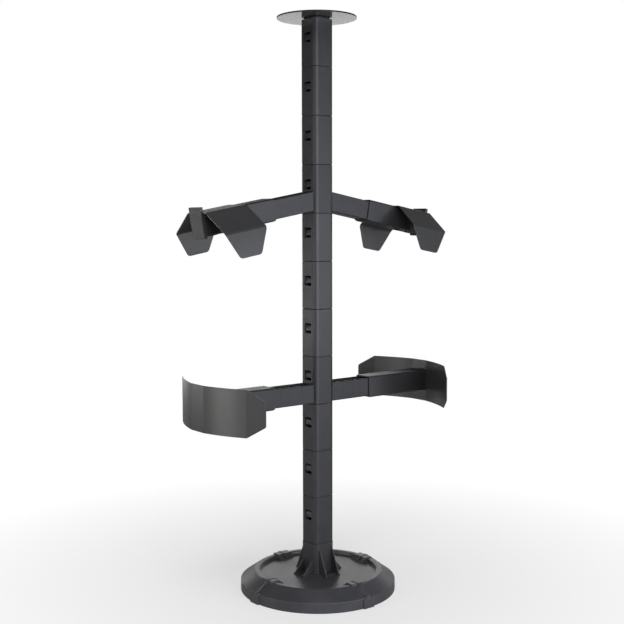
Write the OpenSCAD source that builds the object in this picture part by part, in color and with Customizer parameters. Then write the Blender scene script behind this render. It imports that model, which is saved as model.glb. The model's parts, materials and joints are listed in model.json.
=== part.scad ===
// Free-standing two-sided, two-tier gear and clothing rack.
// A weighted round base carries a square post of stacked 100 mm segments that
// snap together. Two sloped shoulder arms and two level belt arms leave the
// post along X. Each arm has a sleeve that slides in and out on it.
// Frame: origin on the floor under the post, +Z up, X along the arms.

/* [Post] */
// Width of the square post across its flats
post_w = 50.8; // [48:0.2:54]
// Radius of the post's four upright corners
post_corner = 10; // [8:0.5:12]
// Thickness of the post's walls
post_wall = 3.2; // [2.8:0.1:3.6]
// Height of one post segment from seam to seam
segment_h = 100; // [96:1:110]
// Height of the first seam, where the base socket ends
first_seam_z = 102.4; // [98:0.2:110]
// Height of the closing cap at the top of the post
cap_h = 97.6; // [92:0.2:104]

/* [Latch windows] */
// Width of the window in the post's left and right faces
window_w = 21.6; // [16:0.2:24]
// Height of the window
window_h = 20.6; // [18:0.2:22]
// Height of the window's sill above the segment's lower seam
window_sill = 49.2; // [48:0.2:54]

/* [Base] */
// Radius of the base's skirt
base_r = 165.4; // [160:0.2:172]
// Height of the vertical skirt
skirt_h = 21.6; // [18:0.2:24]
// Radius where the conical bevel meets the lip
lip_r = 137; // [134:0.5:140]
// Height of the lip
lip_z = 41.6; // [40:0.2:44]
// Height of the floor inside the lip
floor_z = 35; // [33:0.2:37]
// Thickness of the base's mouldings
base_wall = 3.3; // [2.8:0.1:3.6]

/* [Arms] */
// Width of the fixed inner arms
arm_w = 37.4; // [35:0.2:38]
// Height of the fixed inner arms
arm_h = 39.6; // [38:0.2:41]
// Distance from the post's axis to the tips of the inner arms
arm_reach = 178.5; // [170:0.5:179]
// Spacing of the notches along the inner arms
notch_pitch = 27.5; // [25:0.5:28]
// Height of the belt arms' centre line
belt_z = 424.4; // [424:0.2:428]
// Height at which the shoulder arms' centre line crosses the post's axis
shoulder_z = 831; // [830:0.2:834]
// Downward slope of the shoulder arms in degrees
shoulder_slope = 10.1; // [8:0.1:11]

/* [Sleeves] */
// Width of the sliding sleeves
sleeve_w = 42.8; // [42.6:0.2:44]
// Height of the sliding sleeves
sleeve_h = 46.2; // [46:0.2:47]
// Distance from the post's axis to the sleeves' mouths
sleeve_mouth = 127; // [124:0.5:132]
// Distance from the post's axis to the outer end of the shoulder sleeves
shoulder_sleeve_end = 294.6; // [292:0.2:298]

/* [Sheet metal] */
// Thickness of the belt plates and saddles
sheet_t = 2; // [1.5:0.1:2.4]
// Distance from the post's axis to the outer face of the belt plates
plate_reach = 299.8; // [298:0.2:304]
// Height of the belt plates
plate_h = 93; // [84:1:98]
// Radius of the disc on top of the post
disc_r = 83; // [70:0.2:90]

/* [Hidden] */

$fn = 48;
eps = 0.01;

moulding_black = [0.09, 0.09, 0.1];
sheet_grey = [0.24, 0.25, 0.26];
rubber_black = [0.05, 0.05, 0.05];
steel_grey = [0.5, 0.51, 0.53];

left = -1;
right = 1;

// Each piece of the post is set in at its rims, which leaves a groove at the seam
seam_inset = 1.6;
seam_rim = 0.6;

// The male spigot that rises from each piece of the post into the next
post_bore = post_w - 2 * post_wall;
bore_corner = post_corner - post_wall;
spigot_gap = 0.25;
spigot_w = post_bore - 2 * spigot_gap;
spigot_corner = bore_corner - spigot_gap;
spigot_wall = 2.8;
spigot_h = window_sill + window_h + 4;
collar_h = 10;
collar_inset = seam_inset + 0.2;

// The two springy fingers of a spigot, each with a snap hook
finger_slot = 1;
finger_w = window_w - 2 * finger_slot;
finger_root = 26;
finger_top = window_sill + window_h - 3.4;
hook_rise = 1.9;
hook_low = window_sill + 5.2;
hook_high = hook_low + 8.5;

// Positions of the two hubs in the stack, counted from the base
belt_hub_level = 3;
shoulder_hub_level = 7;
plain_levels = [0, 1, 2, 4, 5, 6, 8, 9];
cap_z = first_seam_z + 10 * segment_h;
cap_top = cap_z + cap_h;
neck_h = 1.8;
neck_w = 42;
neck_corner = 8;
disc_z = cap_top + neck_h;
disc_t = 3;
disc_screw_pitch = 24;

// Base
skirt_foot = 0.6;
cover_z = 2.5;
cover_t = 3;
cover_r = base_r - base_wall - 0.9;
cover_screw_r = 150;
cover_screws_n = 6;
boss_r = 4.6;
ballast_r = 135;
ballast_t = 6;
foot_pad_r = 12;
foot_ring_r = 138;
lug_w = 27;
lug_proud = 3.4;
rib_w = 8;
rib_proud = 3;
rib_inner_r = 104;
block_half_w = 18;
block_gap = 1.3;
block_proud = 2.4;
block_shelf_r = 118;
block_inner_r = 106.5;

// Socket
socket_w = post_w + 1.2;
socket_corner = post_corner + 0.6;
socket_wall = 4;
flange_w = 87;
flange_cut = 29;
flange_t = 2.6;
gusset_t = 2.2;
gusset_foot = 51;
side_gusset_top = 65.5;
front_gusset_top = 95;
side_gusset_y = 14;
front_gusset_x = 16.5;
socket_screw_pitch = 26;

// Arms and sleeves
first_notch = 29.5;
notch_depth = 0.3;
notch_w = 0.7;
arm_cells = 5;
arm_skin = 3.2;
arm_rib = 2.4;
rib_drop = 3.4;
arm_edge = 1.2;
sleeve_gap = 0.3;
sleeve_bore_w = arm_w + 2 * sleeve_gap;
sleeve_bore_h = arm_h + 2 * sleeve_gap;
sleeve_edge = 2.6;
mouth_round = 5;
pad_size = [14, 9, 2.4];
saddle_fixings = [30, 66];
plug_gap = 0.1;
belt_plug_depth = 16;
cap_plug_depth = 11;
plug_screw_y = [-10, 10];
plug_screw_h = 8;

// Belt plate, in plan: half-widths and reach of each bend
plate_flat = 21.8;
belt_sleeve_end = plate_reach - sheet_t - 0.3;
plate_bend = [264, 114.4];
plate_tip = [240.6, 146.7];
plate_bow = 4;
plate_mid_z = 422.6;
tip_half_h = 24;
tip_round = 7;

// Shoulder saddle, across the arm: half-width and drop of each bend
strip_half = 32;
wing_half = 89;
wing_drop = 41.4;
flap_half = 95;
flap_drop = 92.7;
saddle_in = 202;
saddle_out = 297.4;
strip_end = shoulder_sleeve_end - 0.2;
saddle_top = 24;
saddle_screw_h = 3.6;

// Unit vector, left-hand normal, and the outline of a bent sheet
function unit(v) = v / norm(v);
function side_of(v) = [-v[1], v[0]];
function leg(p, i) = unit(p[min(i + 1, len(p) - 1)] - p[min(i, len(p) - 2)]);
function mitre(p, i) =
    let (a = leg(p, max(i - 1, 0)), b = leg(p, i), n = unit(side_of(a) + side_of(b)))
    n / (n * side_of(b));
function sheet_outline(p, t) =
    concat(p, [for (i = [len(p) - 1 : -1 : 0]) p[i] + t * mitre(p, i)]);

// Points of a round corner at b between a and c, and a path with round corners
function corner(a, b, c, r, n = 5) =
    let (u = unit(a - b), v = unit(c - b), half = acos(u * v) / 2,
        m = b + unit(u + v) * (r / sin(half)),
        p = b + u * (r / tan(half)), q = b + v * (r / tan(half)),
        a1 = atan2(p[1] - m[1], p[0] - m[0]), a2 = atan2(q[1] - m[1], q[0] - m[0]),
        sweep = (a2 - a1 + 540) % 360 - 180)
    [for (i = [0 : n]) m + r * [cos(a1 + sweep * i / n), sin(a1 + sweep * i / n)]];
function rounded(p, radii, n = 5) =
    [for (i = [0 : len(p) - 1])
        each radii[i] > 0
            ? corner(p[(i + len(p) - 1) % len(p)], p[i], p[(i + 1) % len(p)], radii[i], n)
            : [p[i]]];

// A square with round corners, w across its flats
module round_square(w, r) {
    square([w, w - 2 * r], center = true);
    square([w - 2 * r, w], center = true);
    for (x = [r - w / 2, w / 2 - r], y = [r - w / 2, w / 2 - r])
        translate([x, y]) circle(r);
}

// A rectangle w by h with its corners cut off by c
module cut_rectangle(w, h, c) {
    x = w / 2;
    y = h / 2;
    polygon([[-x, -y + c], [-x + c, -y], [x - c, -y], [x, -y + c],
        [x, y - c], [x - c, y], [-x + c, y], [-x, y - c]]);
}

// Extrudes a Y-Z profile along X, from one distance to another
module along_arm(from, to) {
    translate([from, 0, 0])
        rotate([90, 0, 90])
            linear_extrude(to - from) children();
}

// Extrudes an X-Z profile to both sides of the X-Z plane
module across_arm(width) {
    rotate([90, 0, 0])
        linear_extrude(width, center = true) children();
}

// A countersunk screw with its head at z = 0, pointing down
module countersunk_screw(head_r, shank_r, length) {
    head_h = head_r - shank_r;
    translate([0, 0, -head_h]) cylinder(h = head_h, r1 = shank_r, r2 = head_r, $fn = 32);
    translate([0, 0, -length]) cylinder(h = length - head_h + eps, r = shank_r, $fn = 32);
}

// A pan-head screw with the underside of its head at z = 0, shank pointing up
module pan_screw(head_r, head_h, shank_r, length) {
    difference() {
        translate([0, 0, -head_h]) cylinder(h = head_h, r = head_r, $fn = 32);
        for (a = [0, 90])
            rotate(a) translate([0, 0, -head_h]) cube([head_r * 1.2, 0.9, 1.4], center = true);
    }
    translate([0, 0, -eps]) cylinder(h = length, r = shank_r, $fn = 32);
}

// Mirrors the right-hand arm to the left
module on_side(side) {
    if (side == left) mirror([1, 0, 0]) children();
    else children();
}

// Places a shoulder part that is drawn level along +X
module on_shoulder(side) {
    on_side(side) translate([0, 0, shoulder_z]) rotate([0, shoulder_slope, 0]) children();
}

// Places a belt part that is drawn level along +X
module on_belt(side) {
    on_side(side) translate([0, 0, belt_z]) children();
}

// Places a pair of screws that point up into the underside of a sleeve
module from_below(x) {
    for (y = plug_screw_y)
        translate([x, y, -sleeve_h / 2]) mirror([0, 0, 1]) children();
}

// Post ------------------------------------------------------------------

// The part of a post piece that is set in at its rims, h tall
module rim_core(h) {
    linear_extrude(h) round_square(post_w - 2 * seam_inset, post_corner - seam_inset);
}

// Outside of one piece of the post, with its rims set in to show a seam
module post_skin(h) {
    translate([0, 0, seam_rim]) linear_extrude(h - 2 * seam_rim) round_square(post_w, post_corner);
    rim_core(h);
}

// Solid of the male spigot, from its collar to its top, with two fingers slotted free
module spigot_body() {
    ledge_w = finger_w - 2.4;
    difference() {
        translate([0, 0, -collar_h])
            linear_extrude(collar_h + spigot_h) round_square(spigot_w, spigot_corner);
        translate([0, 0, -collar_h - 1])
            linear_extrude(collar_h + spigot_h + 2)
                round_square(spigot_w - 2 * spigot_wall, spigot_corner - spigot_wall);
        for (x = [-spigot_w / 2, spigot_w / 2]) {
            for (y = [-1, 1])
                translate([x - spigot_wall, y * (finger_w + finger_slot) / 2 - finger_slot / 2, finger_root])
                    cube([2 * spigot_wall, finger_slot, spigot_h]);
            translate([x - spigot_wall, -window_w / 2, finger_top])
                cube([2 * spigot_wall, window_w, spigot_h]);
            translate([x - spigot_wall, -ledge_w / 2, window_sill - 1])
                cube([2 * spigot_wall, ledge_w, hook_low - window_sill + 1]);
        }
    }
}

// The two snap hooks that click into the next piece's windows
module snap_hooks() {
    root_x = spigot_w / 2 - 0.6;
    tip_x = spigot_w / 2 + hook_rise;
    for (s = [left, right])
        on_side(s)
            across_arm(finger_w)
                polygon([[root_x, hook_low], [tip_x, hook_low], [tip_x, hook_high],
                    [spigot_w / 2 + 0.2, finger_top], [root_x, finger_top]]);
}

module spigot() {
    spigot_body();
    snap_hooks();
}

// The collar that joins a spigot to the piece it stands on
module collar() {
    translate([0, 0, -collar_h]) difference() {
        linear_extrude(collar_h) round_square(post_w - 2 * collar_inset, post_corner - collar_inset);
        translate([0, 0, -1]) linear_extrude(collar_h + 2) round_square(spigot_w - 1, spigot_corner - 0.5);
    }
}

module latch_windows() {
    translate([0, 0, window_sill + window_h / 2]) cube([post_w + 20, window_w, window_h], center = true);
}

// One piece of the post with its lower end at z = 0. Children are fused to its skin.
module post_piece() {
    difference() {
        union() {
            post_skin(segment_h);
            children();
        }
        translate([0, 0, -1]) linear_extrude(segment_h + 2) round_square(post_bore, bore_corner);
        latch_windows();
    }
    translate([0, 0, segment_h]) {
        collar();
        spigot();
    }
}

module post_segment(index) {
    color(moulding_black)
        translate([0, 0, first_seam_z + plain_levels[index - 1] * segment_h]) post_piece();
}

module post_cap() {
    boss = 4.2;
    lid = 3.4;
    color(moulding_black)
        translate([0, 0, cap_z])
            difference() {
                union() {
                    difference() {
                        union() {
                            post_skin(cap_h);
                            translate([0, 0, cap_h - 1])
                                linear_extrude(neck_h + 1) round_square(neck_w, neck_corner);
                        }
                        translate([0, 0, -1])
                            linear_extrude(cap_h + 1 - lid) round_square(post_bore, bore_corner);
                        latch_windows();
                    }
                    for (x = [-1, 1], y = [-1, 1])
                        translate([x * disc_screw_pitch / 2, y * disc_screw_pitch / 2, cap_h - lid - 9])
                            cylinder(h = 10, r = boss, $fn = 32);
                }
                for (x = [-1, 1], y = [-1, 1])
                    translate([x * disc_screw_pitch / 2, y * disc_screw_pitch / 2, cap_h - lid - 8])
                        cylinder(h = 30, r = 1.7, $fn = 32);
            }
}

// Base ------------------------------------------------------------------

// Height of the bevel's outer surface at a radius
function bevel_z(r) = skirt_h + (base_r - r) * (lip_z - 0.6 - skirt_h) / (base_r - lip_r);

module base_ring() {
    inner = base_r - base_wall;
    rotate_extrude($fn = 180)
        polygon([[0, floor_z - base_wall], [lip_r - 9.6, floor_z - base_wall],
            [lip_r - 9, lip_z - base_wall], [lip_r - 1.4, lip_z - base_wall], [inner, skirt_h - 1.5],
            [inner, skirt_foot], [base_r, skirt_foot], [base_r, skirt_h], [lip_r, lip_z - 0.6],
            [lip_r - 1.4, lip_z], [lip_r - 10, lip_z], [lip_r - 11.6, lip_z - 0.8],
            [lip_r - 12.8, floor_z], [0, floor_z]]);
}

// One of the four raised joints: a rib from the floor over the lip and the bevel, a
// lug on the skirt, and a block on each side of the rib that grips the lip
module base_joint() {
    block_z = lip_z + block_proud;
    across_arm(rib_w)
        polygon([[rib_inner_r, floor_z - 1], [rib_inner_r, floor_z + 0.8],
            [block_shelf_r - 1, block_z + 0.9], [lip_r - 2, block_z + 0.9],
            [lip_r + 1.5, bevel_z(lip_r) + rib_proud], [base_r + 1.4, skirt_h + rib_proud - 0.4],
            [base_r + 1.4, skirt_foot], [base_r - 2.4, skirt_foot], [base_r - 2.4, skirt_h - 0.6],
            [lip_r - 1, lip_z - 2.4], [lip_r - 11, lip_z - 2.4], [lip_r - 12, floor_z - 1]]);
    across_arm(lug_w)
        polygon([[base_r - 2.6, skirt_foot], [base_r + lug_proud, skirt_foot],
            [base_r + lug_proud, skirt_h - 1.6], [base_r - 0.6, skirt_h + 2.6],
            [base_r - 3.4, skirt_h + 2.6], [base_r - 3.4, skirt_h - 1]]);
    for (s = [-1, 1])
        translate([0, s * (rib_w / 2 + block_gap + block_half_w) / 2, 0])
            across_arm(block_half_w - rib_w / 2 - block_gap)
                polygon([[block_inner_r, floor_z - 1], [block_inner_r, floor_z + 0.6],
                    [block_shelf_r, block_z], [lip_r - 0.8, block_z], [lip_r - 0.2, block_z - 0.6],
                    [lip_r - 0.2, floor_z - 1]]);
}

module base_shell() {
    boss_top = bevel_z(cover_screw_r + boss_r) - 0.8;
    color(moulding_black)
        difference() {
            union() {
                base_ring();
                for (a = [0 : 90 : 270]) rotate(a) base_joint();
                for (i = [0 : cover_screws_n - 1])
                    rotate(15 + i * 360 / cover_screws_n)
                        translate([cover_screw_r, 0, cover_z + cover_t])
                            cylinder(h = boss_top - cover_z - cover_t, r = boss_r, $fn = 32);
            }
            for (i = [0 : cover_screws_n - 1])
                rotate(15 + i * 360 / cover_screws_n)
                    translate([cover_screw_r, 0, cover_z]) cylinder(h = 16, r = 1.7, $fn = 32);
            for (x = [-1, 1], y = [-1, 1])
                translate([x * socket_screw_pitch / 2, y * socket_screw_pitch / 2, floor_z - 10])
                    cylinder(h = 20, r = 2.2, $fn = 32);
        }
}

module base_cover() {
    color(moulding_black)
        difference() {
            translate([0, 0, cover_z]) cylinder(h = cover_t, r = cover_r, $fn = 180);
            for (i = [0 : cover_screws_n - 1])
                rotate(15 + i * 360 / cover_screws_n)
                    translate([cover_screw_r, 0, 0]) cylinder(h = 20, r = 2, $fn = 32);
        }
}

module ballast_plate() {
    color(steel_grey)
        translate([0, 0, cover_z + cover_t])
            difference() {
                cylinder(h = ballast_t, r = ballast_r, $fn = 120);
                translate([0, 0, -1]) cylinder(h = ballast_t + 2, r = 20);
            }
}

module rubber_feet() {
    color(rubber_black)
        for (i = [0 : cover_screws_n - 1])
            rotate(45 + i * 360 / cover_screws_n)
                translate([foot_ring_r, 0, 0]) cylinder(h = cover_z, r = foot_pad_r);
}

module cover_screws() {
    color(steel_grey)
        for (i = [0 : cover_screws_n - 1])
            rotate(15 + i * 360 / cover_screws_n)
                translate([cover_screw_r, 0, cover_z]) pan_screw(3.6, 1.6, 1.6, 14);
}

// Socket ----------------------------------------------------------------

// Upright triangle in the X-Z plane: root on the socket, toe on the floor
module gusset(root_x, top_z) {
    across_arm(gusset_t)
        polygon([[root_x - 2, floor_z + 1], [gusset_foot, floor_z + 1], [gusset_foot, floor_z + 3],
            [root_x + 0.4, top_z], [root_x - 2, top_z]]);
}

module post_socket() {
    socket_h = first_seam_z - floor_z;
    half = socket_w / 2;
    color(moulding_black) {
        difference() {
            union() {
                translate([0, 0, floor_z]) {
                    linear_extrude(socket_h - seam_rim) round_square(socket_w, socket_corner);
                    rim_core(socket_h);
                    linear_extrude(flange_t) cut_rectangle(flange_w, flange_w, flange_cut);
                }
                for (x = [-1, 1], y = [-1, 1]) {
                    translate([0, y * side_gusset_y, 0]) on_side(x) gusset(half, side_gusset_top);
                    translate([x * front_gusset_x, 0, 0])
                        rotate(y * 90) gusset(half, front_gusset_top);
                }
                for (y = [-side_gusset_y, side_gusset_y])
                    translate([0, y, floor_z + flange_t / 2])
                        cube([2 * gusset_foot + 2, gusset_t + 3, flange_t], center = true);
                for (x = [-front_gusset_x, front_gusset_x])
                    translate([x, 0, floor_z + flange_t / 2])
                        cube([gusset_t + 3, 2 * gusset_foot + 2, flange_t], center = true);
            }
            translate([0, 0, floor_z + 6])
                linear_extrude(socket_h)
                    round_square(socket_w - 2 * socket_wall, socket_corner - socket_wall);
            for (x = [-1, 1], y = [-1, 1])
                translate([x * socket_screw_pitch / 2, y * socket_screw_pitch / 2, floor_z - 1])
                    cylinder(h = 12, r = 1.9, $fn = 32);
        }
        translate([0, 0, first_seam_z]) {
            collar();
            spigot();
        }
    }
}

module socket_screws() {
    color(steel_grey)
        for (x = [-1, 1], y = [-1, 1])
            translate([x * socket_screw_pitch / 2, y * socket_screw_pitch / 2, floor_z - base_wall])
                pan_screw(4, 2, 1.8, base_wall + 5.4);
}

// Hubs ------------------------------------------------------------------

// A fixed inner arm, drawn level along +X: a trough that is open above, with cross
// ribs between its cells and a fine notch in its sides at each rib
module inner_arm() {
    inner_w = arm_w - 2 * arm_skin;
    difference() {
        along_arm(0, arm_reach) cut_rectangle(arm_w, arm_h, arm_edge);
        for (i = [0 : arm_cells], y = [-arm_w / 2, arm_w / 2])
            translate([first_notch + i * notch_pitch, y, 0])
                cube([notch_w, 2 * notch_depth, arm_h + 2], center = true);
        for (i = [0 : arm_cells - 1])
            translate([first_notch + arm_rib / 2 + i * notch_pitch, -inner_w / 2, arm_skin - arm_h / 2])
                cube([notch_pitch - arm_rib, inner_w, arm_h]);
        translate([first_notch, -inner_w / 2, arm_h / 2 - rib_drop])
            cube([arm_cells * notch_pitch, inner_w, rib_drop + 1]);
    }
}

module belt_hub() {
    level_z = first_seam_z + belt_hub_level * segment_h;
    color(moulding_black)
        translate([0, 0, level_z])
            post_piece()
                for (s = [left, right]) translate([0, 0, -level_z]) on_belt(s) inner_arm();
}

module shoulder_hub() {
    level_z = first_seam_z + shoulder_hub_level * segment_h;
    color(moulding_black)
        translate([0, 0, level_z])
            post_piece()
                for (s = [left, right]) translate([0, 0, -level_z]) on_shoulder(s) inner_arm();
}

// Top -------------------------------------------------------------------

module top_disc() {
    color(sheet_grey)
        difference() {
            translate([0, 0, disc_z]) cylinder(h = disc_t, r = disc_r, $fn = 120);
            for (x = [-1, 1], y = [-1, 1])
                translate([x * disc_screw_pitch / 2, y * disc_screw_pitch / 2, disc_z + disc_t])
                    countersunk_screw(3.7, 1.8, 10);
        }
}

module disc_screws() {
    color(steel_grey)
        for (x = [-1, 1], y = [-1, 1])
            translate([x * disc_screw_pitch / 2, y * disc_screw_pitch / 2, disc_z + disc_t])
                countersunk_screw(3.6, 1.6, 13);
}

// Sleeves ---------------------------------------------------------------

// A sliding sleeve, drawn level along +X
module sleeve(end, recess_from = 0) {
    difference() {
        along_arm(sleeve_mouth, end) cut_rectangle(sleeve_w, sleeve_h, sleeve_edge);
        along_arm(sleeve_mouth - 1, end + 1) cut_rectangle(sleeve_bore_w, sleeve_bore_h, 0.8);
        translate([sleeve_mouth, 0, -sleeve_h / 2])
            across_arm(sleeve_w + 2)
                difference() {
                    translate([-1, -1]) square(mouth_round + 1);
                    translate([mouth_round, mouth_round]) circle(mouth_round);
                }
        if (recess_from > 0)
            translate([recess_from - 0.2, -sleeve_w, saddle_top - sheet_t])
                cube([end, 2 * sleeve_w, sleeve_h]);
    }
}

module belt_sleeve(side) {
    screw_x = belt_sleeve_end - belt_plug_depth / 2;
    color(moulding_black)
        on_belt(side)
            difference() {
                sleeve(belt_sleeve_end);
                from_below(screw_x) countersunk_screw(3.3, 1.6, plug_screw_h);
            }
}

// Welded steel foot of the belt plate: a box with a thick end, plugged into the sleeve
module belt_bracket(side) {
    weld_x = plate_reach - sheet_t;
    screw_x = belt_sleeve_end - belt_plug_depth / 2;
    color(sheet_grey)
        on_belt(side)
            difference() {
                along_arm(belt_sleeve_end - belt_plug_depth, weld_x)
                    cut_rectangle(sleeve_bore_w - 2 * plug_gap, sleeve_bore_h - 2 * plug_gap, 1);
                along_arm(belt_sleeve_end - belt_plug_depth - 1, weld_x - 3)
                    square([27, 29], center = true);
                from_below(screw_x) countersunk_screw(3.3, 1.6, 12);
            }
}

module bracket_screws(side) {
    screw_x = belt_sleeve_end - belt_plug_depth / 2;
    color(steel_grey)
        on_belt(side)
            from_below(screw_x) countersunk_screw(3.2, 1.5, plug_screw_h);
}

module shoulder_sleeve(side) {
    screw_x = shoulder_sleeve_end - cap_plug_depth / 2;
    color(moulding_black)
        on_shoulder(side)
            difference() {
                union() {
                    sleeve(shoulder_sleeve_end, saddle_in);
                    for (x = saddle_fixings)
                        translate([saddle_in + x, 0, -sleeve_h / 2 - pad_size[2] / 2 + eps])
                            cube(pad_size, center = true);
                }
                for (x = saddle_fixings)
                    translate([saddle_in + x, 0, 0]) cylinder(h = sleeve_h, r = 1.6, $fn = 32);
                from_below(screw_x) countersunk_screw(3.3, 1.6, plug_screw_h);
            }
}

// Belt plate ------------------------------------------------------------

// Plan of the plate's outer face from its middle to one tip
function bowed(a, b, bow, n) =
    [for (i = [0 : n]) let (t = i / n) a + (b - a) * t - side_of(unit(b - a)) * 4 * bow * t * (1 - t)];
plate_half = concat(bowed([plate_reach, plate_flat], plate_bend, plate_bow, 6), [plate_tip]);
plate_path = concat([for (i = [len(plate_half) - 1 : -1 : 0]) [plate_half[i][0], -plate_half[i][1]]],
    plate_half);

// What is cut from one end of the plate to taper it to a tip with round corners
module tip_cutter() {
    length = norm(plate_tip - plate_bend);
    turn = atan2(plate_tip[1] - plate_bend[1], plate_tip[0] - plate_bend[0]);
    start = [1, plate_h / 2];
    tip = [length + 0.05, tip_half_h];
    clear = 15;
    translate([plate_bend[0], plate_bend[1], plate_mid_z])
        rotate(turn)
            across_arm(2 * clear)
                polygon(concat([start + 4 * unit(start - tip)],
                    corner(start, tip, [tip[0], 0], tip_round, 8),
                    [[length + clear, 0], [length + clear, plate_h]], [[-3, plate_h]]));
}

module belt_plate(side) {
    color(sheet_grey)
        on_side(side)
            difference() {
                translate([0, 0, plate_mid_z - plate_h / 2])
                    linear_extrude(plate_h) polygon(sheet_outline(plate_path, sheet_t));
                for (y = [0, 1], z = [0, 1])
                    mirror([0, y, 0])
                        translate([0, 0, z * plate_mid_z])
                            mirror([0, 0, z])
                                translate([0, 0, -z * plate_mid_z]) tip_cutter();
            }
}

// Shoulder saddle -------------------------------------------------------

saddle_corners = [[-flap_half, -flap_drop], [-wing_half, -wing_drop], [-strip_half, 0],
    [strip_half, 0], [wing_half, -wing_drop], [flap_half, -flap_drop]];
saddle_path = rounded(saddle_corners, [0, 7, 8, 8, 7, 0], 6);

module saddle_sheet() {
    along_arm(saddle_in, saddle_out)
        translate([0, saddle_top]) polygon(sheet_outline(saddle_path, -sheet_t));
}

// Side view of the saddle: straight wings, flaps that narrow downwards
module saddle_side() {
    across_arm(3 * wing_half)
        polygon(rounded([[saddle_in, saddle_top + 5], [saddle_out, saddle_top + 5],
            [saddle_out, saddle_top - wing_drop - 1], [saddle_out - 23, saddle_top - flap_drop],
            [saddle_in + 23.5, saddle_top - flap_drop], [saddle_in, saddle_top - wing_drop - 6]],
            [0, 0, 7, 9, 9, 10]));
}

module shoulder_saddle(side) {
    color(sheet_grey)
        on_shoulder(side)
            difference() {
                intersection() {
                    saddle_sheet();
                    saddle_side();
                }
                translate([strip_end, -20.6, saddle_top - 10]) cube([20, 41.2, 20]);
                for (x = saddle_fixings)
                    translate([saddle_in + x, 0, saddle_top]) countersunk_screw(3.3, 1.6, 10);
            }
}

module saddle_screws(side) {
    color(steel_grey)
        on_shoulder(side)
            for (x = saddle_fixings)
                translate([saddle_in + x, 0, saddle_top]) countersunk_screw(3.2, 1.5, saddle_screw_h);
}

// End cap ---------------------------------------------------------------

// Flat end stop of a shoulder sleeve, with a plug and a raised upper lip
module end_cap(side) {
    plate_t = 6.6;
    lip_half = 20.2;
    low = -26.6;
    high = 34.5;
    screw_x = shoulder_sleeve_end - cap_plug_depth / 2;
    color(moulding_black)
        on_shoulder(side)
            difference() {
                union() {
                    translate([shoulder_sleeve_end, -lip_half, low]) cube([plate_t, 2 * lip_half, high - low]);
                    along_arm(shoulder_sleeve_end - cap_plug_depth, shoulder_sleeve_end + eps)
                        cut_rectangle(sleeve_bore_w - 2 * plug_gap, sleeve_bore_h - 2 * plug_gap, 1);
                }
                along_arm(shoulder_sleeve_end - cap_plug_depth - 1, shoulder_sleeve_end)
                    square([30, 30], center = true);
                from_below(screw_x) countersunk_screw(3.3, 1.6, 12);
            }
}

module end_cap_screws(side) {
    screw_x = shoulder_sleeve_end - cap_plug_depth / 2;
    color(steel_grey)
        on_shoulder(side)
            from_below(screw_x) countersunk_screw(3.2, 1.5, plug_screw_h);
}

base_shell();
base_cover();
ballast_plate();
rubber_feet();
cover_screws();
post_socket();
socket_screws();
for (i = [1 : len(plain_levels)])
    post_segment(i);
belt_hub();
shoulder_hub();
post_cap();
top_disc();
disc_screws();
belt_sleeve(left);  // belt_sleeve_left
belt_sleeve(right);  // belt_sleeve_right
belt_bracket(left);  // belt_bracket_left
belt_bracket(right);  // belt_bracket_right
belt_plate(left);  // belt_plate_left
belt_plate(right);  // belt_plate_right
bracket_screws(left);  // bracket_screws_left
bracket_screws(right);  // bracket_screws_right
shoulder_sleeve(left);  // shoulder_sleeve_left
shoulder_sleeve(right);  // shoulder_sleeve_right
shoulder_saddle(left);  // shoulder_saddle_left
shoulder_saddle(right);  // shoulder_saddle_right
saddle_screws(left);  // saddle_screws_left
saddle_screws(right);  // saddle_screws_right
end_cap(left);  // end_cap_left
end_cap(right);  // end_cap_right
end_cap_screws(left);  // end_cap_screws_left
end_cap_screws(right);  // end_cap_screws_right
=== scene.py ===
import json
import math

import bpy
from mathutils import Matrix, Vector

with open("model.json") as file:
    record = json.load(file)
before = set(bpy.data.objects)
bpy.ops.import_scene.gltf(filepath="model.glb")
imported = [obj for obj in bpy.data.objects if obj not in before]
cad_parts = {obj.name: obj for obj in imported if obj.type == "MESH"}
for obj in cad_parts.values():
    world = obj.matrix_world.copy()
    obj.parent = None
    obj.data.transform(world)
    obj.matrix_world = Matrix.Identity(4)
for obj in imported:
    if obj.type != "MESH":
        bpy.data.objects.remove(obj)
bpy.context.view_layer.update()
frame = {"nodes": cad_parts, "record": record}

MM = 0.001

# ---------------------------------------------------------------- camera

# Where the camera stands, in degrees and metres, and how it is turned from looking level
# at the post
CAMERA_AZIMUTH = -38.52
CAMERA_DISTANCE = 2.2639
CAMERA_HEIGHT = 0.7904
CAMERA_PITCH = 4.944
CAMERA_YAW = -0.285
CAMERA_ROLL = -0.131
# In millimetres, on a sensor 36 wide
CAMERA_LENS = 62.08
CAMERA_SENSOR = 36


def turn(degrees, axis):
    return Matrix.Rotation(math.radians(degrees), 3, axis)


def compass(azimuth, distance, height):
    """The point at that azimuth, where 0 is in front (-Y) and 90 is to the right (+X)."""
    a = math.radians(azimuth)
    return Vector((math.sin(a) * distance, -math.cos(a) * distance, height))


def make_camera():
    data = bpy.data.cameras.new("camera")
    data.lens = CAMERA_LENS
    data.sensor_width = CAMERA_SENSOR
    data.clip_start = 0.05
    data.clip_end = 100
    camera = bpy.data.objects.new("camera", data)
    bpy.context.scene.collection.objects.link(camera)
    camera.location = compass(CAMERA_AZIMUTH, CAMERA_DISTANCE, CAMERA_HEIGHT)
    aim = turn(CAMERA_AZIMUTH - CAMERA_YAW, "Z") @ turn(90 - CAMERA_PITCH, "X") @ turn(CAMERA_ROLL, "Z")
    camera.rotation_euler = aim.to_euler()
    bpy.context.scene.camera = camera


# ---------------------------------------------------------------- node helpers

# Most of a noise's values lie between these two.
NOISE_LOW = 0.3
NOISE_HIGH = 0.7
# The cosine between a surface's own normal and its rounded one, on a flat and on an edge
FLAT_COSINE = 0.985
EDGE_COSINE = 0.9


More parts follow.
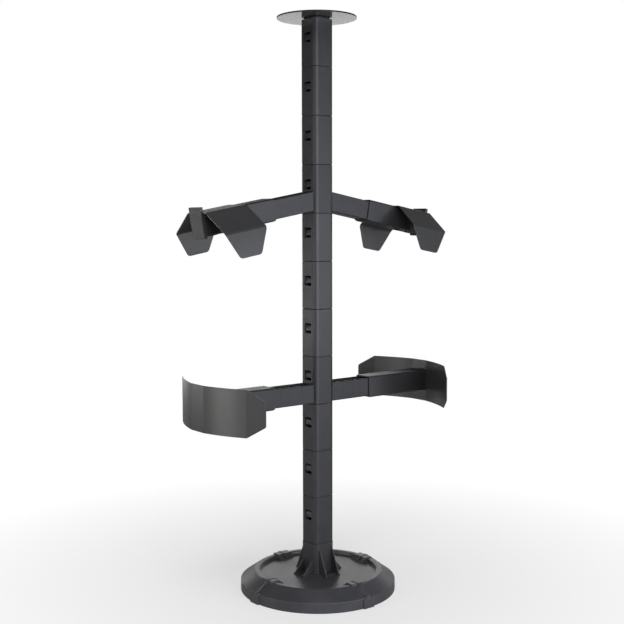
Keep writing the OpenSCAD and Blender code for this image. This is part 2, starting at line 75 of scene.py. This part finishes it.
class Shader:
    """A material's node tree, built one node at a time around a Principled shader."""

    def __init__(self, name):
        self.material = bpy.data.materials.new(name)
        self.material.use_nodes = True
        self.tree = self.material.node_tree
        self.tree.nodes.clear()
        self.output = self.tree.nodes.new("ShaderNodeOutputMaterial")
        self.bsdf = self.tree.nodes.new("ShaderNodeBsdfPrincipled")
        self.tree.links.new(self.bsdf.outputs[0], self.output.inputs["Surface"])
        self.place = self.tree.nodes.new("ShaderNodeTexCoord").outputs["Object"]

    def node(self, kind, settings=None, **values):
        made = self.tree.nodes.new(kind)
        for key, value in (settings or {}).items():
            setattr(made, key, value)
        for key, value in values.items():
            self.put(made.inputs[key.replace("_", " ")], value)
        return made

    def put(self, socket, value):
        """Links the socket to an output, or sets it to a constant."""
        if hasattr(value, "is_output"):
            self.tree.links.new(value, socket)
        else:
            socket.default_value = value

    def surface(self, **values):
        """Sets the Principled shader's inputs."""
        for key, value in values.items():
            self.put(self.bsdf.inputs[key.replace("_", " ")], value)

    def noise(self, size, detail=3.0, roughness=0.55, squeeze=(1, 1, 1)):
        """Noise whose lumps are about size metres across, divided by squeeze along X, Y and Z."""
        mapping = self.node("ShaderNodeMapping", Vector=self.place, Scale=squeeze)
        noise = self.node("ShaderNodeTexNoise", Scale=1 / size, Detail=detail, Roughness=roughness)
        self.put(noise.inputs["Vector"], mapping.outputs[0])
        return noise.outputs["Fac"]

    def ramp(self, value, low, high, to_low=0.0, to_high=1.0):
        """Maps low to to_low and high to to_high, and stays within those two."""
        made = self.node("ShaderNodeMapRange", Value=value)
        made.inputs["From Min"].default_value = low
        made.inputs["From Max"].default_value = high
        made.inputs["To Min"].default_value = to_low
        made.inputs["To Max"].default_value = to_high
        return made.outputs["Result"]

    def spread(self, noise, to_low, to_high):
        """Spreads noise over a range of values."""
        return self.ramp(noise, NOISE_LOW, NOISE_HIGH, to_low, to_high)

    def math(self, operation, a, b):
        made = self.node("ShaderNodeMath", {"operation": operation})
        self.put(made.inputs[0], a)
        self.put(made.inputs[1], b)
        return made.outputs[0]

    def mix(self, factor, a, b):
        made = self.node("ShaderNodeMix", {"data_type": "RGBA"}, Factor=factor, A=a, B=b)
        return made.outputs["Result"]

    def mix_shaders(self, factor, first, second):
        made = self.node("ShaderNodeMixShader")
        self.put(made.inputs[0], factor)
        self.put(made.inputs[1], first)
        self.put(made.inputs[2], second)
        return made.outputs[0]

    def bump(self, height, depth, normal=None):
        """A bump whose height of 1 is depth metres, on top of another normal."""
        made = self.node("ShaderNodeBump", Strength=1.0, Distance=depth, Height=height)
        if normal is not None:
            self.put(made.inputs["Normal"], normal)
        return made.outputs["Normal"]

    def edges(self, radius):
        """1 along edges, 0 on flats that are further than radius from one."""
        bevel = self.node("ShaderNodeBevel", {"samples": 4}, Radius=radius)
        plain = self.node("ShaderNodeNewGeometry").outputs["Normal"]
        dot = self.node("ShaderNodeVectorMath", {"operation": "DOT_PRODUCT"})
        self.put(dot.inputs[0], bevel.outputs[0])
        self.put(dot.inputs[1], plain)
        return self.ramp(dot.outputs["Value"], FLAT_COSINE, EDGE_COSINE)


def grey(value, blue=0.0):
    """A grey whose blue is higher by that share."""
    return (value, value, value * (1 + blue), 1)


# ---------------------------------------------------------------- materials


def moulded(name, tone, blue, roughness, rounding):
    """Black moulded plastic with a spark-eroded grain, and edges that catch the light."""
    shader = Shader(name)
    grain = shader.noise(0.5 * MM, 2.0, 0.6)
    cloud = shader.noise(45 * MM, 4.0, 0.55)
    streak = shader.noise(9 * MM, 3.0, 0.6)
    swell = shader.noise(30 * MM, 1.0, 0.4)

    base = shader.mix(shader.ramp(cloud, 0.35, 0.65), grey(tone * 0.9, blue), grey(tone * 1.12, blue))
    worn = shader.math("MULTIPLY", shader.edges(1.2 * rounding), shader.ramp(streak, 0.4, 0.62, 0.3, 0.7))
    uneven = shader.spread(cloud, roughness - 0.03, roughness + 0.04)
    rounded = shader.node("ShaderNodeBevel", {"samples": 6}, Radius=rounding).outputs[0]
    shader.surface(
        Base_Color=shader.mix(worn, base, grey(tone * 2.2, blue)),
        Roughness=shader.math("ADD", shader.spread(grain, -0.05, 0.05), uneven),
        Normal=shader.bump(grain, 0.012 * MM, shader.bump(swell, 0.05 * MM, rounded)),
    )
    return shader.material


def powder_coat(name, tone, blue, roughness, peel_depth):
    """Smooth grey powder coat on sheet steel, with a faint orange peel."""
    shader = Shader(name)
    peel = shader.noise(1.6 * MM, 2.0, 0.5)
    speck = shader.noise(0.35 * MM, 1.0, 0.5)
    cloud = shader.noise(60 * MM, 3.0, 0.5)
    streak = shader.noise(7 * MM)

    base = shader.mix(shader.ramp(cloud, 0.35, 0.65), grey(tone * 0.95, blue), grey(tone * 1.06, blue))
    worn = shader.math("MULTIPLY", shader.edges(0.7 * MM), shader.ramp(streak, 0.42, 0.6, 0.1, 0.6))
    shader.surface(
        Base_Color=shader.mix(worn, base, grey(tone * 1.8, blue)),
        Roughness=shader.spread(speck, roughness - 0.04, roughness + 0.04),
        Normal=shader.bump(speck, peel_depth / 3, shader.bump(peel, peel_depth)),
    )
    return shader.material


def metal(name, tone, roughness):
    """Dull plated or rolled steel, with fine level streaks."""
    shader = Shader(name)
    streak = shader.noise(0.8 * MM, 3.0, 0.6, squeeze=(1, 1, 6))
    shader.surface(
        Base_Color=shader.mix(streak, grey(tone * 0.85), grey(tone * 1.15)),
        Metallic=1.0,
        Roughness=shader.spread(streak, roughness - 0.08, roughness + 0.08),
        Normal=shader.bump(streak, 0.01 * MM),
    )
    return shader.material


def rubber(name):
    """Matte black rubber, slightly mottled."""
    shader = Shader(name)
    grain = shader.noise(0.6 * MM, 3.0, 0.6)
    shader.surface(
        Base_Color=shader.mix(shader.noise(12 * MM), grey(0.018), grey(0.032)),
        Roughness=shader.spread(grain, 0.75, 0.95),
        Normal=shader.bump(grain, 0.03 * MM),
    )
    return shader.material


def make_materials():
    """The material of each material slot of the record. They are kept by slot and not by
    name, because the loaded CAD materials already have these names."""
    return {
        "post_moulding": moulded("post_moulding", tone=0.026, blue=0.12, roughness=0.40, rounding=0.7 * MM),
        "arm_moulding": moulded("arm_moulding", tone=0.020, blue=0.12, roughness=0.42, rounding=0.5 * MM),
        "base_moulding": moulded("base_moulding", tone=0.046, blue=0.12, roughness=0.38, rounding=1.6 * MM),
        "cap_moulding": moulded("cap_moulding", tone=0.03, blue=0.04, roughness=0.45, rounding=1.4 * MM),
        "sheet_enamel": powder_coat(
            "sheet_enamel", tone=0.042, blue=0.03, roughness=0.32, peel_depth=0.012 * MM
        ),
        "disc_enamel": powder_coat(
            "disc_enamel", tone=0.02, blue=0.0, roughness=0.17, peel_depth=0.0006 * MM
        ),
        "foot_rubber": rubber("foot_rubber"),
        "ballast_steel": metal("ballast_steel", tone=0.35, roughness=0.5),
        "screw_zinc": metal("screw_zinc", tone=0.10, roughness=0.4),
    }


# ---------------------------------------------------------------- carried-over nodes

# How far the edges of each finish are rounded. The seams of the post, the notches of the
# arms and the blocks of the base are small steps, which leave little room for it.
EDGE_RADIUS = {
    "post_moulding": 0.28 * MM,
    "arm_moulding": 0.14 * MM,
    "base_moulding": 0.28 * MM,
    "cap_moulding": 0.6 * MM,
    "sheet_enamel": 0.45 * MM,
    "disc_enamel": 0.4 * MM,
    "foot_rubber": 0.6 * MM,
    "ballast_steel": 0.5 * MM,
    "screw_zinc": 0.12 * MM,
}
EDGE_SEGMENTS = 3
# Edges that turn by more than this many degrees are rounded. The creases of the belt
# plates are shallow.
EDGE_TURN = 30
CREASE_TURN = 4.5
# Corners closer together than this are one corner.
WELD_GAP = 0.002 * MM


def soften(obj, radius, least_turn):
    """Rounds a CAD node's sharp edges, and leaves its curved faces smooth."""
    weld = obj.modifiers.new("weld", "WELD")
    weld.merge_threshold = WELD_GAP
    bevel = obj.modifiers.new("bevel", "BEVEL")
    bevel.width = radius
    bevel.segments = EDGE_SEGMENTS
    bevel.limit_method = "ANGLE"
    bevel.angle_limit = math.radians(least_turn)
    bevel.use_clamp_overlap = False
    bevel.miter_outer = "MITER_ARC"
    normals = obj.modifiers.new("normals", "WEIGHTED_NORMAL")
    normals.keep_sharp = False


def dress_nodes(materials):
    """Gives each CAD node its material and its rounded edges."""
    slots = {row["node"]: row["material_slot"] for row in frame["record"]["subparts"]}
    for name, obj in frame["nodes"].items():
        slot = slots[name]
        obj.data.materials.clear()
        obj.data.materials.append(materials[slot])
        obj.data.shade_smooth()
        least_turn = CREASE_TURN if name.startswith("belt_plate") else EDGE_TURN
        soften(obj, EDGE_RADIUS[slot], least_turn)


# ---------------------------------------------------------------- studio

# How bright the plain white floor is in reflections and as light, where the camera sees 1
FLOOR_BOUNCE = 0.15
# How bright the room around the lights is in reflections and as light, where the camera
# sees 1
ROOM = 0.06
# Half the floor's width, in metres
FLOOR_REACH = 30
# Up to the first distance from the post, the floor is lit paper with this share of plain
# white mixed in. From the second distance it is all plain white.
FLOOR_WHITE = 0.55
FLOOR_PAPER_END = 0.25
FLOOR_PLAIN_START = 1.0


def floor_material():
    """Pale paper that runs out into the white studio with no horizon, and is clear from below."""
    shader = Shader("floor_paper")
    shader.surface(Base_Color=shader.mix(shader.noise(0.4), grey(0.90), grey(0.92)), Roughness=0.85)
    seen = shader.node("ShaderNodeLightPath").outputs["Is Camera Ray"]
    strength = shader.ramp(seen, 0, 1, FLOOR_BOUNCE, 1.0)
    glow = shader.node("ShaderNodeEmission", Color=grey(1.0), Strength=strength)
    reach = shader.node("ShaderNodeVectorMath", {"operation": "LENGTH"})
    shader.put(reach.inputs[0], shader.place)
    white = shader.ramp(reach.outputs["Value"], FLOOR_PAPER_END, FLOOR_PLAIN_START, FLOOR_WHITE, 1.0)
    paper = shader.mix_shaders(white, shader.bsdf.outputs[0], glow.outputs[0])
    from_below = shader.node("ShaderNodeNewGeometry").outputs["Backfacing"]
    clear = shader.node("ShaderNodeBsdfTransparent").outputs[0]
    shader.put(shader.output.inputs["Surface"], shader.mix_shaders(from_below, paper, clear))
    return shader.material


def make_floor():
    mesh = bpy.data.meshes.new("floor")
    corners = [
        (-FLOOR_REACH, -FLOOR_REACH, 0),
        (FLOOR_REACH, -FLOOR_REACH, 0),
        (FLOOR_REACH, FLOOR_REACH, 0),
        (-FLOOR_REACH, FLOOR_REACH, 0),
    ]
    mesh.from_pydata(corners, [], [(0, 1, 2, 3)])
    floor = bpy.data.objects.new("floor", mesh)
    floor.data.materials.append(floor_material())
    bpy.context.scene.collection.objects.link(floor)


def make_world():
    """White behind everything that is seen directly, and a dimmer studio around the object."""
    world = bpy.data.worlds.new("studio")
    bpy.context.scene.world = world
    world.use_nodes = True
    tree = world.node_tree
    tree.nodes.clear()

    def white(strength):
        background = tree.nodes.new("ShaderNodeBackground")
        background.inputs["Color"].default_value = (1, 1, 1, 1)
        background.inputs["Strength"].default_value = strength
        return background.outputs[0]

    output = tree.nodes.new("ShaderNodeOutputWorld")
    mix = tree.nodes.new("ShaderNodeMixShader")
    path = tree.nodes.new("ShaderNodeLightPath")
    tree.links.new(path.outputs["Is Camera Ray"], mix.inputs[0])
    tree.links.new(white(ROOM), mix.inputs[1])
    tree.links.new(white(1.0), mix.inputs[2])
    tree.links.new(mix.outputs[0], output.inputs["Surface"])


def softbox(name, azimuth, distance, height, width, tall, power, aim_height, colour):
    """A rectangular light that faces the post at aim_height."""
    data = bpy.data.lights.new(name, "AREA")
    data.shape = "RECTANGLE"
    data.size = width
    data.size_y = tall
    data.energy = power
    data.color = colour
    light = bpy.data.objects.new(name, data)
    light.location = compass(azimuth, distance, height)
    aim = Vector((0, 0, aim_height)) - light.location
    light.rotation_euler = aim.to_track_quat("-Z", "Y").to_euler()
    bpy.context.scene.collection.objects.link(light)


COOL = (0.92, 0.94, 1.0)
PLAIN = (1.0, 1.0, 1.0)
WARM = (1.0, 1.0, 0.96)

# name, azimuth, distance, height, width, tall, power, height of the aim, colour, in
# degrees, metres and watts
LIGHTS = [
    ("key", 31, 3.0, 0.5, 1.0, 1.2, 19, 0.5, COOL),
    ("front", -51, 3.4, 0.7, 0.9, 1.6, 6, 0.6, PLAIN),
    ("front_high", -40, 2.0, 3.0, 1.6, 1.2, 39, 0.3, PLAIN),
    ("front_wide", -5, 3.4, 0.7, 2.8, 1.6, 80, 0.6, COOL),
    ("left", -99, 1.8, 0.5, 0.7, 1.0, 7.5, 0.5, WARM),
    ("left_near", -75, 1.8, 0.6, 0.6, 1.1, 2, 0.55, PLAIN),
    ("left_back", -144, 3.9, 0.2, 1.0, 0.36, 9, 0.3, PLAIN),
    ("back", 178, 3.2, 0.6, 1.2, 1.2, 10, 0.6, WARM),
    ("backdrop", 141, 3.5, 1.05, 2.6, 0.6, 11, 0.8, PLAIN),
    ("backdrop_high", 141, 3.5, 1.9, 2.6, 0.8, 3, 0.4, PLAIN),
    ("backdrop_low", 141, 3.5, 0.45, 2.4, 0.8, 4.8, 0.6, PLAIN),
    ("right", 95, 3.2, 0.7, 1.4, 1.4, 9, 0.6, PLAIN),
    ("behind", 118, 3.0, 1.1, 1.4, 1.4, 4, 0.6, PLAIN),
]


def make_studio():
    make_floor()
    make_world()
    for settings in LIGHTS:
        softbox(*settings)
    bpy.context.scene.view_settings.view_transform = "Standard"


make_camera()
dress_nodes(make_materials())
make_studio()
